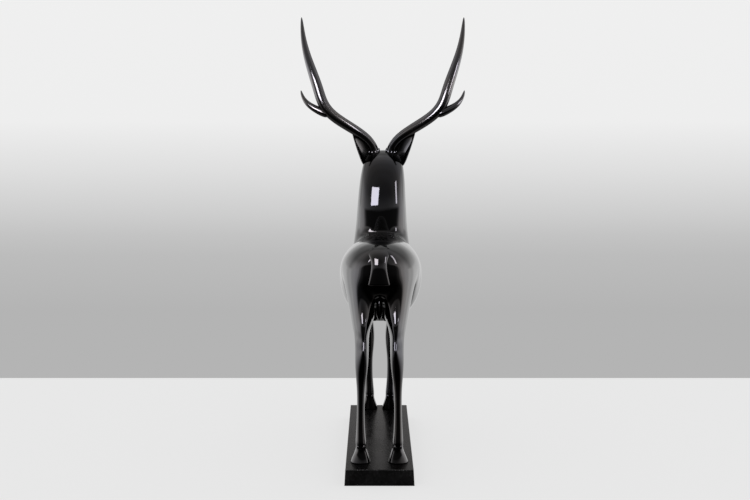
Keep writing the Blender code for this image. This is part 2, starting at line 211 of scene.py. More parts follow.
# The groove that parts the hoof's two claws: up, how far in from the toe, reach and depth
TOE_GROOVE = (
    (0.0, 0.03, 0.16, 0.20),
    (0.08, 0.05, 0.12, 0.14),
    (0.16, 0.10, 0.11, 0.12),
    (0.24, 0.14, 0.10, 0.10),
    (0.31, 0.18, 0.09, 0.07),
)
FETLOCK_AT = -4  # row of the leg, counted from the sole
DEWCLAW_UP = 0.80
DEWCLAW_SPREAD = 0.55  # how far out they stand, as a share of the fetlock's half width
DEWCLAW_SINK = 0.03  # how far their middle lies inside the back of the leg
DEWCLAW_SIZE = (0.055, 0.06, 0.09)  # half width, half length and half height
DEWCLAW_SIDES = 24

# Where the surface is raised or sunk: side, forward, up, reach, and the push to the side, forward
# and up
HEAD_MODELLING = (
    (0.60, 5.24, 13.34, 0.26, 0.08, 0.02, 0.07),  # brow
    (0.66, 5.56, 13.00, 0.18, -0.06, 0.0, 0.0),  # in front of the eye
    (0.66, 4.98, 12.45, 0.44, 0.07, 0.0, -0.02),  # cheek
    (0.54, 5.85, 12.38, 0.30, -0.06, 0.0, 0.0),
    (0.33, 7.02, 12.26, 0.15, 0.035, 0.0, 0.02),  # wing of the nostril
    (0.30, 7.20, 12.13, 0.085, -0.10, -0.03, 0.0),  # nostril
    (0.22, 7.34, 11.88, 0.06, -0.03, -0.04, 0.0),  # mouth
    (0.30, 7.24, 11.88, 0.06, -0.05, 0.0, 0.0),
    (0.34, 7.12, 11.91, 0.06, -0.05, 0.0, 0.0),
    (0.36, 7.00, 11.94, 0.06, -0.05, 0.0, 0.0),
    (0.37, 6.88, 11.97, 0.06, -0.05, 0.0, 0.0),
    (0.39, 6.76, 12.01, 0.06, -0.05, 0.0, 0.0),
    (0.41, 6.64, 12.05, 0.06, -0.04, 0.0, 0.0),
)
BODY_MODELLING = (
    (1.60, 3.70, 7.70, 1.00, 0.05, 0.0, 0.0),  # shoulder
    (1.80, -1.45, 7.60, 1.10, -0.04, 0.0, 0.0),  # flank
    (1.50, -2.00, 6.70, 0.80, 0.04, 0.03, 0.0),  # stifle
    (0.0, 5.10, 8.60, 0.80, 0.0, 0.06, 0.0),  # breast
)
HIND_MODELLING = (
    (0.80, -5.00, 6.40, 0.38, 0.0, -0.06, 0.0),  # back of the thigh
    (0.78, -5.12, 5.16, 0.22, 0.0, -0.035, 0.0),  # point of the hock
)

ANTLER_SIDES = 8

# Side, forward, up, radius
BEAM = (
    (0.36, 4.30, 13.00, 0.25),
    (0.42, 4.18, 13.45, 0.29),  # burr
    (0.46, 4.12, 13.70, 0.24),
    (0.57, 4.02, 13.93, 0.23),
    (0.88, 3.80, 14.31, 0.24),
    (1.66, 3.35, 14.80, 0.26),
    (2.52, 3.07, 15.33, 0.27),
    (3.00, 2.98, 15.92, 0.28),
    (3.19, 3.02, 16.66, 0.270),
    (3.53, 3.16, 17.62, 0.235),
    (3.79, 3.38, 18.41, 0.185),
    (3.98, 3.68, 19.28, 0.125),
    (4.06, 3.99, 20.29, 0.045),
)
TINE = (
    (2.62, 3.03, 15.36, 0.22),
    (3.20, 3.02, 15.60, 0.20),
    (3.70, 3.08, 15.88, 0.145),
    (3.98, 3.22, 16.24, 0.09),
    (4.08, 3.41, 16.62, 0.035),
)
BROW_TINE = (
    (0.50, 4.02, 13.86, 0.12),
    (0.70, 4.50, 13.98, 0.15),
    (1.02, 5.20, 14.22, 0.13),
    (1.38, 5.80, 14.46, 0.10),
    (1.66, 6.20, 14.78, 0.035),
)
BURR_AT = 1  # point of the beam below the burr
BURR_RISE = 0.45  # how far up the burr stands towards the next point
BURR_SINK = 0.03  # how far the middles of the beads lie inside the beam
BURR_BEADS = 9
BURR_BEAD = (0.05, 0.05, 0.11)  # half width, half length and half height
BEAD_SIDES = 16

PLINTH_EDGE_STEPS = 4  # faces across the soft edge


class StagSettings(bpy.types.PropertyGroup):
    height: bpy.props.FloatProperty(
        name="Height",
        description="From the soles to the tips of the antlers",
        default=2.04,
        min=0.5,
        unit="LENGTH",
    )
    sole_level: bpy.props.FloatProperty(
        name="Sole Level",
        description="Height of the soles above the floor",
        default=PLINTH_BOX[1].z + SOLE_CLEARANCE,
        unit="LENGTH",
    )
    smoothness: bpy.props.IntProperty(
        name="Smoothness",
        description="How often the cast surface is subdivided",
        default=3,
        min=1,
        max=4,
    )
    patina: bpy.props.FloatVectorProperty(
        name="Patina",
        description="Colour of the polished dark bronze",
        default=(0.020, 0.020, 0.022),
        size=3,
        subtype="COLOR",
    )
    polish: bpy.props.FloatProperty(
        name="Polish",
        description="Roughness of the polished bronze",
        default=0.04,
        min=0.0,
        max=1.0,
        subtype="FACTOR",
    )


class PlinthSettings(bpy.types.PropertyGroup):
    draft: bpy.props.FloatProperty(
        name="Draft",
        description="How far each side leans out towards the floor",
        default=0.004,
        unit="LENGTH",
    )
    edge: bpy.props.FloatProperty(
        name="Edge",
        description="Width of the soft edge",
        default=0.0025,
        unit="LENGTH",
    )
    colour: bpy.props.FloatVectorProperty(
        name="Colour",
        description="Colour of the satin bronze",
        default=(0.021, 0.0205, 0.0205),
        size=3,
        subtype="COLOR",
    )
    satin: bpy.props.FloatProperty(
        name="Satin",
        description="Roughness of the satin bronze",
        default=0.22,
        min=0.0,
        max=1.0,
        subtype="FACTOR",
    )


class StageSettings(bpy.types.PropertyGroup):
    floor_colour: bpy.props.FloatVectorProperty(
        name="Floor",
        description="Colour of the pale floor",
        default=(0.80, 0.80, 0.80),
        size=3,
        subtype="COLOR",
    )
    wall_distance: bpy.props.FloatProperty(
        name="Backdrop Distance",
        description="From the middle of the plinth to the backdrop",
        default=1.46,
        unit="LENGTH",
    )


def sizes():
    return bpy.context.scene.stag


def hands(amount):
    """A length in metres, given in hands."""
    return amount * sizes().height / HANDS_TALL


def spot(side, forward, up):
    """The world place of a point given in hands from the middle of the stance."""
    hand = hands(1)
    return Vector((side * hand, -forward * hand, sizes().sole_level + up * hand))


def paired_spot(hand_side, drift, place):
    """The world place of one of a pair. hand_side is 1 on the stag's left and -1 on its right."""
    side, forward, up = place
    return spot(hand_side * side - drift, forward, up)


def paired_way(hand_side, way):
    """A direction out, forward and up, for one of a pair."""
    out, forward, up = way
    return Vector((hand_side * out, -forward, up))


def swell(sides):
    """How much wider a ring of so few corners is than the round that subdivision makes of it."""
    return 3 / (2 + math.cos(math.tau / sides))


def ring(bm, sides, place_corner):
    """A loop whose corners place_corner puts where they belong, given their angle."""
    corners = bmesh.ops.create_circle(bm, segments=sides, radius=1)["verts"]
    for index, corner in enumerate(corners):
        corner.co = place_corner(math.tau * index / sides)
    return corners


def loop_edges(bm, corners):
    return [bm.edges.get((a, b)) for a, b in zip(corners, corners[1:] + corners[:1])]


def bridge(bm, first, second):
    bmesh.ops.bridge_loops(bm, edges=loop_edges(bm, first) + loop_edges(bm, second))


def cap(bm, corners):
    bmesh.ops.contextual_create(bm, geom=corners)


def loft(bm, rings):
    """Joins the rings in turn and closes both ends."""
    cap(bm, rings[0])
    for first, second in zip(rings, rings[1:]):
        bridge(bm, first, second)
    cap(bm, rings[-1])


def neighbours(rows, index):
    """The rows before and after one, or the row itself at an end."""
    return rows[max(index - 1, 0)], rows[min(index + 1, len(rows) - 1)]


def new_form():
    """An empty bmesh that can keep edges sharp under subdivision."""
    bm = bmesh.new()
    bm.edges.layers.float.new("crease_edge")
    return bm


def crease(bm, edges, amount=1.0):
    layer = bm.edges.layers.float["crease_edge"]
    for edge in edges:
        edge[layer] = amount


def finish_piece(bm, name, levels):
    """Makes a smooth object of the bmesh, at the origin."""
    bmesh.ops.recalc_face_normals(bm, faces=bm.faces)
    mesh = bpy.data.meshes.new(name)
    bm.to_mesh(mesh)
    bm.free()
    mesh.shade_smooth()
    piece = bpy.data.objects.new(name, mesh)
    bpy.context.scene.collection.objects.link(piece)
    if levels:
        smooth = piece.modifiers.new("round", "SUBSURF")
        smooth.levels = smooth.render_levels = levels
    return piece


def settle(piece, node, finish):
    """Fits the piece to the frame and gives it its finish."""
    piece.data.materials.append(shared_finish(finish))
    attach(piece, "root")
    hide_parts(node)


def trunk_ring(bm, row):
    """A ring round the body, the neck or the head."""
    forward, up, lean, half_width, above, below, keel, pinch, drift = row
    lean = math.radians(lean)
    grow = swell(TRUNK_SIDES)

    def corner(angle):
        full = grow * (1 + TRUNK_FULLNESS * math.sin(2 * angle) ** 2)
        upright, sideways = math.cos(angle), math.sin(angle)
        if upright > 0 and pinch < 0:
            upright = upright ** (1 + pinch)
            sideways = math.copysign(abs(sideways) ** (1 + pinch), sideways)
        height = full * upright * (above if upright > 0 else below)
        height *= 1 - KEEL_LIFT * (1 - keel) * max(-upright, 0) ** KEEL_LIFT_POWER
        narrowing = 1 - (1 - keel) * max(-upright, 0) ** 2
        beside_nape = max(abs(sideways) * NAPE_PLACE[0] + upright * NAPE_PLACE[1], 0)
        narrowing *= 1 - max(pinch, 0) * beside_nape**NAPE_PINCH_POWER
        side = full * sideways * half_width * narrowing
        ahead = forward - height * math.sin(lean)
        return spot(side - drift, ahead, up + height * math.cos(lean))

    return ring(bm, TRUNK_SIDES, corner)


def leg_ring(bm, row, hand_side, drift):
    """A ring round a leg, squarer where it is the hoof."""
    up, side, half_width, back, front, rise, nip = row
    grow = swell(LEG_SIDES)
    middle = (back + front) / 2
    reach = (front - back) / 2 * grow
    boxy = 1 - HOOF_SQUARENESS * max(1 - up / HOOF_TOP, 0)

    def corner(angle):
        across, along = math.cos(angle), math.sin(angle)
        across = math.copysign(abs(across) ** boxy, across)
        narrowing = 1 - nip * max(-along, 0)
        out = side + half_width * grow * across * narrowing
        out -= LEG_BACK_SHIFT * nip * half_width * max(-along, 0)
        ahead = reach * along
        height = up + rise / 2 * along
        return spot(hand_side * out - drift, middle + ahead, height)

    return ring(bm, LEG_SIDES, corner)


def add_leg(bm, trunk, start, rows, hand_side, drift):
    """Opens the trunk over two rings and two sides, and lofts the leg down from the opening."""
    a, b, c = [hand_side * (LEG_FIRST_CORNER + step) for step in range(3)]
    back, middle, front = trunk[start : start + 3]
    patch = [
        bm.faces.get((here[left], here[right], there[right], there[left]))
        for here, there in ((back, middle), (middle, front))
        for left, right in ((a, b), (b, c))
    ]
    opening = [back[a], back[b], back[c], middle[c], front[c], front[b], front[a], middle[a]]
    bmesh.ops.delete(bm, geom=patch, context="FACES")
    last = opening
    for row in rows:
        new = leg_ring(bm, row, hand_side, drift)
        bridge(bm, last, new)
        last = new
    cap(bm, last)
    crease(bm, loop_edges(bm, last))


def model_surface(piece, dabs, drift):
    """Raises and sinks the rounded surface softly, alike on both sides."""
    mesh = piece.data
    places = np.empty(len(mesh.vertices) * 3)
    mesh.vertices.foreach_get("co", places)
    places = places.reshape(-1, 3)
    for side, forward, up, reach, *push in dabs:
        for hand_side in (1, -1) if side else (1,):
            middle = np.array(paired_spot(hand_side, drift, (side, forward, up)))
            move = np.array(paired_way(hand_side, push)) * hands(1)
            share = 1 - np.linalg.norm(places - middle, axis=1) / hands(reach)
            share = np.clip(share, 0, 1)
            share = share * share * (3 - 2 * share)
            places += share[:, None] * move
    mesh.vertices.foreach_set("co", places.ravel())
    mesh.update()


def apply_rounding(piece):
    """Makes the rounded form the piece's own mesh."""
    graph = bpy.context.evaluated_depsgraph_get()
    rounded = bpy.data.meshes.new_from_object(piece.evaluated_get(graph))
    rough = piece.data
    piece.modifiers.clear()
    piece.data = rounded
    bpy.data.meshes.remove(rough)


def make_body():
    """The trunk, neck, head and legs, cast in one."""
    bm = new_form()
    rings = [trunk_ring(bm, row) for row in TRUNK]
    loft(bm, rings)
    root = rings[NECK_ROOT_AT]
    crease(bm, [bm.edges.get((root[i], root[i + 1])) for i in (-1, 0)], NECK_ROOT_FOLD)
    for _, hand_side in SIDES:
        for _, rows, start, drift in LEGS:
            add_leg(bm, rings, start, rows, hand_side, drift)
    piece = finish_piece(bm, "stag_body", sizes().smoothness)
    apply_rounding(piece)
    model_surface(piece, HEAD_MODELLING, HEAD_DRIFT)
    model_surface(piece, BODY_MODELLING, TRUNK[FORE_LEG_AT][-1])
    model_surface(piece, HIND_MODELLING, HIND_DRIFT)
    for _, rows, _, drift in LEGS:
        _, side, _, _, toe, _, _ = rows[-1]
        groove = [(side, toe - into, up, reach, 0, -deep, 0) for up, into, reach, deep in TOE_GROOVE]
        model_surface(piece, groove, drift)
    return piece


def add_egg(bm, place, size, sides):
    """A small egg-shaped swelling."""
    new = bmesh.ops.create_uvsphere(bm, u_segments=sides, v_segments=sides // 2, radius=1)
    bmesh.ops.scale(bm, vec=Vector(size) * hands(1), verts=new["verts"])
    bmesh.ops.translate(bm, vec=place, verts=new["verts"])


def make_dewclaws(name, rows, hand_side, drift):
    """The two dewclaws behind one fetlock."""
    bm = bmesh.new()
    _, side, half_width, back, _, _, _ = rows[FETLOCK_AT]
    for claw_side in (1, -1):
        out = side + claw_side * half_width * DEWCLAW_SPREAD
        place = paired_spot(hand_side, drift, (out, back + DEWCLAW_SINK, DEWCLAW_UP))
        add_egg(bm, place, DEWCLAW_SIZE, DEWCLAW_SIDES)
    return finish_piece(bm, name, 0)


def tube_ring(bm, centre, heading, radius):
    """A round ring across the heading."""
    turn = heading.to_track_quat("Z", "Y").to_matrix()
    reach = hands(radius) * swell(ANTLER_SIDES)

    def corner(angle):
        return centre + turn @ Vector((math.cos(angle), math.sin(angle), 0)) * reach

    return ring(bm, ANTLER_SIDES, corner)


def add_branch(bm, rows, hand_side):
    """A tapered round branch through the rows' points."""
    points = [paired_spot(hand_side, ANTLER_DRIFT, row[:3]) for row in rows]
    rings = []
    for index, row in enumerate(rows):
        before, after = neighbours(points, index)
        rings.append(tube_ring(bm, points[index], after - before, row[3]))
    loft(bm, rings)


def make_burr(name, hand_side):
    """A ring of small beads round the foot of the antler."""
    bm = bmesh.new()
    *foot, radius = BEAM[BURR_AT]
    below = paired_spot(hand_side, ANTLER_DRIFT, foot)
    above = paired_spot(hand_side, ANTLER_DRIFT, BEAM[BURR_AT + 1][:3])
    turn = (above - below).to_track_quat("Z", "Y").to_matrix()
    centre = below.lerp(above, BURR_RISE)
    for index in range(BURR_BEADS):
        angle = math.tau * index / BURR_BEADS
        out = turn @ Vector((math.cos(angle), math.sin(angle), 0)) * hands(radius - BURR_SINK)
        add_egg(bm, centre + out, BURR_BEAD, BEAD_SIDES)
    return finish_piece(bm, name, 0)


def make_antler(name, hand_side):
    """The beam with its two tines."""
    bm = new_form()
    for rows in (BEAM, TINE, BROW_TINE):
        add_branch(bm, rows, hand_side)
    return finish_piece(bm, name, sizes().smoothness)


def make_tail():
    """A short flat tail that hangs from the croup."""
    bm = new_form()
    grow = swell(TAIL_SIDES)
    rings = []
    for index, (up, forward, half_width, thick) in enumerate(TAIL):
        before, after = neighbours(TAIL, index)
        heading = math.atan2(after[0] - before[0], before[1] - after[1])
        if index == len(TAIL) - 1:
            heading = -math.pi / 2  # the last ring lies level

        def corner(angle):
            out = thick * grow * math.sin(angle)
            side = half_width * grow * math.cos(angle) - TAIL_DRIFT
            return spot(side, forward + out * math.sin(heading), up + out * math.cos(heading))

        rings.append(ring(bm, TAIL_SIDES, corner))
    loft(bm, rings)
    crease(bm, loop_edges(bm, rings[-1]))
    return finish_piece(bm, "tail", sizes().smoothness)


def make_ear(name, hand_side):
    """A cupped leaf that opens backwards."""
    bm = new_form()
    root = paired_spot(hand_side, HEAD_DRIFT, EAR_ROOT)
    tip = paired_spot(hand_side, HEAD_DRIFT, EAR_TIP)
    along = (tip - root).normalized()
    facing = paired_way(hand_side, EAR_WAY)
    facing = (facing - along * facing.dot(along)).normalized()
    across = along.cross(facing)
    half = EAR_SIDES // 2
    rings = []
    for share, inward, half_width, depth, rim in EAR:
        centre = root + (tip - root) * share + across * hand_side * hands(inward)
        hollow = 1 - EAR_FILLING * min(max(share, 0) / EAR_FILLED_AT, 1)

        # Half of the corners run along the outside of the cup, and the others back along its inside
        def corner(angle):
            index = round(angle / math.tau * EAR_SIDES)
            inner = index >= half
            step = index - half if inner else index
            turn = math.pi * step / (half - 1)
            if inner:
                turn = math.pi - turn
            wide = half_width - (rim / 2 if inner else 0)
            deep = (depth - rim) * hollow if inner else depth
            side = wide * math.cos(turn)
            back = deep * math.sin(turn)
            return centre + (across * side - facing * back) * hands(1)

        rings.append(ring(bm, EAR_SIDES, corner))
    loft(bm, rings)
    return finish_piece(bm, name, EAR_SMOOTHNESS)


def make_round(name, place, size):
    """An egg-shaped piece of its own."""
    bm = bmesh.new()
    add_egg(bm, place, size, ROUND_SIDES)
    return finish_piece(bm, name, 0)


def make_eyelids(name, hand_side):
    """A soft rim round the eye."""
    bm = bmesh.new()
    section = bmesh.ops.create_circle(bm, segments=LID_SIDES, radius=hands(LID_THICKNESS))["verts"]
    middle = (hands(LID_RADIUS), 0, 0)
    bmesh.ops.translate(bm, vec=middle, verts=section)
    bmesh.ops.rotate(bm, cent=middle, matrix=Matrix.Rotation(math.pi / 2, 3, "X"), verts=section)
    bmesh.ops.spin(
        bm,
        geom=bm.verts[:] + bm.edges[:],
        cent=(0, 0, 0),
        axis=(0, 0, 1),
        angle=math.tau,
        steps=LID_STEPS,
        use_merge=True,
    )
    bmesh.ops.scale(bm, vec=LID_STRETCH, verts=bm.verts)
    outward = paired_way(hand_side, EYE_WAY)
    bmesh.ops.rotate(bm, matrix=outward.to_track_quat("Z", "Y").to_matrix(), verts=bm.verts)
    centre = paired_spot(hand_side, HEAD_DRIFT, EYE_PLACE) + outward.normalized() * hands(LID_LIFT)
    bmesh.ops.translate(bm, vec=centre, verts=bm.verts)
    return finish_piece(bm, name, 0)


def make_plinth():
    """A block with a little draft and soft edges."""
    low, high = PLINTH_BOX
    plinth = bpy.context.scene.plinth
    bm = bmesh.new()
    bmesh.ops.create_cube(bm, size=1)
    for corner in bm.verts:
        inset = plinth.draft if corner.co.z > 0 else 0
        corner.co.x = high.x - inset if corner.co.x > 0 else low.x + inset
        corner.co.y = high.y - inset if corner.co.y > 0 else low.y + inset
        corner.co.z = high.z if corner.co.z > 0 else low.z
    middle = (low.z + high.z) / 2
    edges = [edge for edge in bm.edges if any(v.co.z > middle for v in edge.verts)]
    bmesh.ops.bevel(
        bm,
        geom=edges,
        offset=plinth.edge,
        offset_type="OFFSET",
        segments=PLINTH_EDGE_STEPS,
        profile=0.5,
        affect="EDGES",
        material=-1,
    )
    piece = finish_piece(bm, "plinth_block", 0)
    piece.data.shade_flat()
    return piece


def new_material(name):
    material = bpy.data.materials.new(name)
    material.use_nodes = True
    return material, material.node_tree, material.node_tree.nodes["Principled BSDF"]


def add_node(tree, kind, **settings):
    node = tree.nodes.new(kind)
    for name, value in settings.items():
        setattr(node, name, value)
    return node


def feed(tree, socket, value):
    """Links a socket, or sets the number or the colour that it holds."""
    if isinstance(value, bpy.types.NodeSocket):
        tree.links.new(value, socket)
    else:
        socket.default_value = (*value, 1) if isinstance(value, tuple) else value


def number(tree, operation, first, second):
    """What the operation makes of two values."""
    node = add_node(tree, "ShaderNodeMath", operation=operation)
    feed(tree, node.inputs[0], first)
    feed(tree, node.inputs[1], second)
    return node.outputs[0]


def spread(tree, value, low, high, to_low=0.0, to_high=1.0, steps="SMOOTHSTEP"):
    """Maps a value between low and high to another range."""
    node = add_node(tree, "ShaderNodeMapRange", interpolation_type=steps)
    feed(tree, node.inputs["Value"], value)
    names = ("From Min", "From Max", "To Min", "To Max")
    for name, limit in zip(names, (low, high, to_low, to_high)):
        node.inputs[name].default_value = limit
    return node.outputs[0]


def blend(tree, mask, first, second):
    """Mixes two colours by a mask."""
    node = add_node(tree, "ShaderNodeMix", data_type="RGBA")
    for name, value in (("Factor", mask), ("A", first), ("B", second)):
        feed(tree, node.inputs[name], value)
    return node.outputs["Result"]


def noise(tree, scale, detail, vector=None):
    """Soft noise, on the piece's own coordinates where no others are given."""
    node = add_node(tree, "ShaderNodeTexNoise")
    if vector is None:
        vector = add_node(tree, "ShaderNodeTexCoord").outputs["Object"]
    for name, value in (("Vector", vector), ("Scale", scale), ("Detail", detail)):
        feed(tree, node.inputs[name], value)
    return node.outputs["Fac"]


def split(tree, vector):
    """The X, Y and Z of a vector."""
    node = add_node(tree, "ShaderNodeSeparateXYZ")
    feed(tree, node.inputs[0], vector)
    return node.outputs


def make_group(name, inputs, outputs):
    """An empty node group with number inputs and outputs."""
    tree = bpy.data.node_groups.new(name, "ShaderNodeTree")
    for word, value in inputs:
        socket = tree.interface.new_socket(word, in_out="INPUT", socket_type="NodeSocketFloat")
        socket.default_value = value
    for word in outputs:
        tree.interface.new_socket(word, in_out="OUTPUT", socket_type="NodeSocketFloat")
    return tree, tree.nodes.new("NodeGroupInput").outputs, tree.nodes.new("NodeGroupOutput").inputs


# Between which values of its noise each effect fades in
CLOUD_EDGES = (0.36, 0.66)
FLECK_EDGES = (0.42, 0.72)
DUST_EDGES = (0.30, 0.75)
MARK_EDGES = (0.35, 0.70)
DUSTY_SLOPE = (0.70, 1.0)  # how far up a face looks where dust begins to lie, and where it is full
FLECKS_TO_A_CLOUD = 14.0


def patina_group():
    """Clouds of colour with finer flecks in them, as a chemical patina has."""
    tree, given, result = make_group("patina", (("Scale", 4.0),), ("Clouds", "Flecks"))
    clouds = noise(tree, given["Scale"], 5.0)
    tree.links.new(spread(tree, clouds, *CLOUD_EDGES), result["Clouds"])
    flecks = noise(tree, number(tree, "MULTIPLY", given["Scale"], FLECKS_TO_A_CLOUD), 3.0)
    tree.links.new(spread(tree, flecks, *FLECK_EDGES), result["Flecks"])
    return tree


def dust_group():
    """Fine dust that lies unevenly on what faces up."""
    tree, given, result = make_group("settled_dust", (("Scale", 20.0), ("Cover", 0.3)), ("Mask",))
    normal = add_node(tree, "ShaderNodeNewGeometry").outputs["Normal"]
    facing_up = spread(tree, split(tree, normal)["Z"], *DUSTY_SLOPE)
    patches = spread(tree, noise(tree, given["Scale"], 6.0), *DUST_EDGES)
    dust = number(tree, "MULTIPLY", facing_up, patches)
    tree.links.new(number(tree, "MULTIPLY", dust, given["Cover"]), result["Mask"])
    return tree


def rubbing_group():
    """Long faint marks from rubbing and polishing, drawn out along the stag."""
    tree, given, result = make_group("rubbing", (("Scale", 30.0), ("Length", 8.0)), ("Marks",))
    place = add_node(tree, "ShaderNodeTexCoord").outputs["Object"]
    shape = add_node(tree, "ShaderNodeCombineXYZ")
    tree.links.new(given["Scale"], shape.inputs["X"])
    tree.links.new(number(tree, "DIVIDE", given["Scale"], given["Length"]), shape.inputs["Y"])
    tree.links.new(given["Scale"], shape.inputs["Z"])
    drawn = add_node(tree, "ShaderNodeVectorMath", operation="MULTIPLY")
    tree.links.new(place, drawn.inputs[0])
    tree.links.new(shape.outputs[0], drawn.inputs[1])
    marks = noise(tree, 1.0, 6.0, drawn.outputs[0])
    tree.links.new(spread(tree, marks, *MARK_EDGES), result["Marks"])
    return tree


EFFECTS = {patina_group: "patina", dust_group: "settled_dust", rubbing_group: "rubbing"}


def effect(tree, make, **values):
    """Places a shared effect in a material, with its own values."""
    group = bpy.data.node_groups.get(EFFECTS[make]) or make()
    node = add_node(tree, "ShaderNodeGroup", node_tree=group)
    for name, value in values.items():
        node.inputs[name].default_value = value
    return node.outputs


def toned(colour, factor):
    """The colour, paler or darker by a factor."""
    return tuple(factor * share for share in colour)


def roughen(tree, shader, clouds, levels, *added):
    """Sets the roughness between two levels by the clouds, and adds each mask times its share."""
    rough = spread(tree, clouds, 0.0, 1.0, *levels)
    for mask, share in added:
        rough = number(tree, "ADD", rough, number(tree, "MULTIPLY", mask, share))
    feed(tree, shader.inputs["Roughness"], rough)


def raise_surface(tree, shader, height, distance):
    """Bends the light as if the surface rose by the height times the distance, in metres."""
    bump = add_node(tree, "ShaderNodeBump")
    bump.inputs["Distance"].default_value = distance
    tree.links.new(height, bump.inputs["Height"])
    tree.links.new(bump.outputs["Normal"], shader.inputs["Normal"])


WARM_PATINA = (0.021, 0.0195, 0.019)
DUST = (0.20, 0.20, 0.20)
POLISH_LEVELS = (0.6, 1.3)  # shares of the set roughness between which the clouds vary it
SATIN_LEVELS = (0.75, 1.1)
POLISH_MARK_HAZE = 0.015  # roughness that the marks add to the polished bronze
POLISH_DUST_HAZE = 0.9
SATIN_MARK_HAZE = 0.05
SATIN_DUST_HAZE = 0.6
CAST_SCALE = 9.0
CAST_RELIEF = 0.0012  # height of the cast's unevenness, in metres
CAST_MARKS = 0.02  # how high the marks are beside it
BRUSH_RELIEF = 0.00003
# The antlers and the ears get a paler and rougher copy of the bronze: its paler colour is painted
# light
LIT_BRONZE_PALER = 2.4
LIT_BRONZE_DULLER = 3.5
STAIN_PALER = 1.6
SCUFF_PALER = 2.4
PLINTH_DUST_TONE = 0.4  # the dust there is thinner and darker
PLINTH_SHEEN = (0.86, 0.845, 0.84)  # tint of what it mirrors at a glancing angle


def polished_bronze(name="polished_bronze", paler=1.0, duller=1.0):
    """Nearly black bronze, waxed and polished to a mirror, with a faint unevenness of the cast.
    paler and duller multiply its colour and its roughness."""
    material, tree, shader = new_material(name)
    shader.inputs["Metallic"].default_value = 1.0
    patina = effect(tree, patina_group, Scale=3.5)
    dust = effect(tree, dust_group, Scale=26.0, Cover=0.10)["Mask"]
    marks = effect(tree, rubbing_group, Scale=60.0, Length=5.0)["Marks"]
    cold, warm = toned(sizes().patina, paler), toned(WARM_PATINA, paler)
    colour = blend(tree, patina["Clouds"], cold, warm)
    feed(tree, shader.inputs["Base Color"], blend(tree, dust, colour, DUST))
    levels = [sizes().polish * duller * share for share in POLISH_LEVELS]
    added = (marks, POLISH_MARK_HAZE), (dust, POLISH_DUST_HAZE)
    roughen(tree, shader, patina["Clouds"], levels, *added)
    raised_marks = number(tree, "MULTIPLY", marks, CAST_MARKS)
    cast = number(tree, "ADD", noise(tree, CAST_SCALE, 1.0), raised_marks)
    raise_surface(tree, shader, cast, CAST_RELIEF)
    return material


def lit_bronze():
    """The same bronze on the antlers and the ears, a little less polished, and paler as painted light
    that lifts these thin parts to a brighter tone.
    """
    return polished_bronze("lit_bronze", LIT_BRONZE_PALER, LIT_BRONZE_DULLER)


def brushed_bronze():
    """Dark satin bronze, brushed along the plinth, with stains, scuffs and a little dust."""
    material, tree, shader = new_material("brushed_bronze")
    plinth = bpy.context.scene.plinth
    shader.inputs["Metallic"].default_value = 1.0
    shader.inputs["Specular Tint"].default_value = (*PLINTH_SHEEN, 1)
    patina = effect(tree, patina_group, Scale=6.0)
    dust = effect(tree, dust_group, Scale=18.0, Cover=0.08)["Mask"]
    marks = effect(tree, rubbing_group, Scale=110.0, Length=14.0)["Marks"]
    dark = tuple(plinth.colour)
    colour = blend(tree, patina["Clouds"], dark, toned(dark, STAIN_PALER))
    scuffed = number(tree, "MULTIPLY", marks, patina["Flecks"])
    colour = blend(tree, scuffed, colour, toned(dark, SCUFF_PALER))
    colour = blend(tree, dust, colour, toned(DUST, PLINTH_DUST_TONE))
    feed(tree, shader.inputs["Base Color"], colour)
    levels = [plinth.satin * share for share in SATIN_LEVELS]
    added = (marks, SATIN_MARK_HAZE), (dust, SATIN_DUST_HAZE)
    roughen(tree, shader, patina["Clouds"], levels, *added)
    raise_surface(tree, shader, marks, BRUSH_RELIEF)
    return material


def shared_finish(make):
    """The finish is made once and used by every piece that has it."""
    found = bpy.data.materials.get(make.__name__)
    if not found:
        found = make()
        found.name = make.__name__
    return found


STAGE_REACH = 20  # how far the floor and the backdrop go to each side, in metres
BACKDROP_HEIGHT = 12
FLOOR_LIT = 0.25  # share of the floor's colour that takes light and shadows
FLOOR_GLOW = 0.80  # share of the floor's colour that it shows by itself

# How far the lamps' light follows mirrored rays, so that their images don't repeat in folds
LAMP_RAY_DEPTH = 2.5
LAMP_COLOUR = (0.94, 0.93, 1.0)
LAMP_TARGET = (0, -0.26, 1.2)

# Name, place, width and height, and brightness, as that of a white wall is 1
LAMPS = (
    ("key", (1.35, 3.4, 2.35), (1.8, 1.7), 36),
    ("kicker", (-3.3, 1.9, 2.3), (0.7, 1.7), 22),
)
CAMERA_PLACE = (0.0195, 5.196, 1.592)
CAMERA_TILT = 6.812  # how far it looks down, in degrees
CAMERA_LENS = 52.8  # in millimetres
CAMERA_SENSOR = 36  # its width in millimetres

# How bright the mirrored room is above the horizon, from the far side, at 0, to behind the camera
ROOM_ABOVE = (
    (0.0, 0.12),
    (0.16, 0.26),
    (0.36, 0.80),
    (0.48, 0.84),
    (0.60, 0.62),
    (0.72, 0.42),
    (0.85, 0.28),
    (0.95, 0.16),
    (1.0, 0.12),
)

# The same below the horizon
ROOM_BELOW = (
    (0.0, 0.12),
    (0.12, 0.30),
    (0.25, 0.62),
    (0.40, 0.90),
    (0.52, 0.90),
    (0.62, 0.45),
    (0.70, 0.10),
    (0.80, 0.03),
    (1.0, 0.02),
)
HORIZON_BLUR = 0.03

# Between which heights of the direction the mirrored room fades, and its strength at both
OVERHEAD = (0.0, 0.36, 6, 2.4)
UNDERFOOT = (-0.55, -0.12, 0.5, 6)

# Height of the direction, and the grey that the camera sees there
PLAIN_ROOM = (
    (0.0, 0.60),
    (0.2, 0.74),
    (0.5, 0.86),
)

# The backdrop's glow is painted light, paler towards the top
# Share of a height above the floor, and the backdrop's grey there
BACKDROP_GLOW_HEIGHT = 2.5
BACKDROP_GLOW = (
    (0.0, 0.456),
    (0.17, 0.456),
    (0.305, 0.503),
    (0.355, 0.546),
    (0.405, 0.610),
    (0.515, 0.738),
    (0.63, 0.855),
    (1.0, 0.87),
)


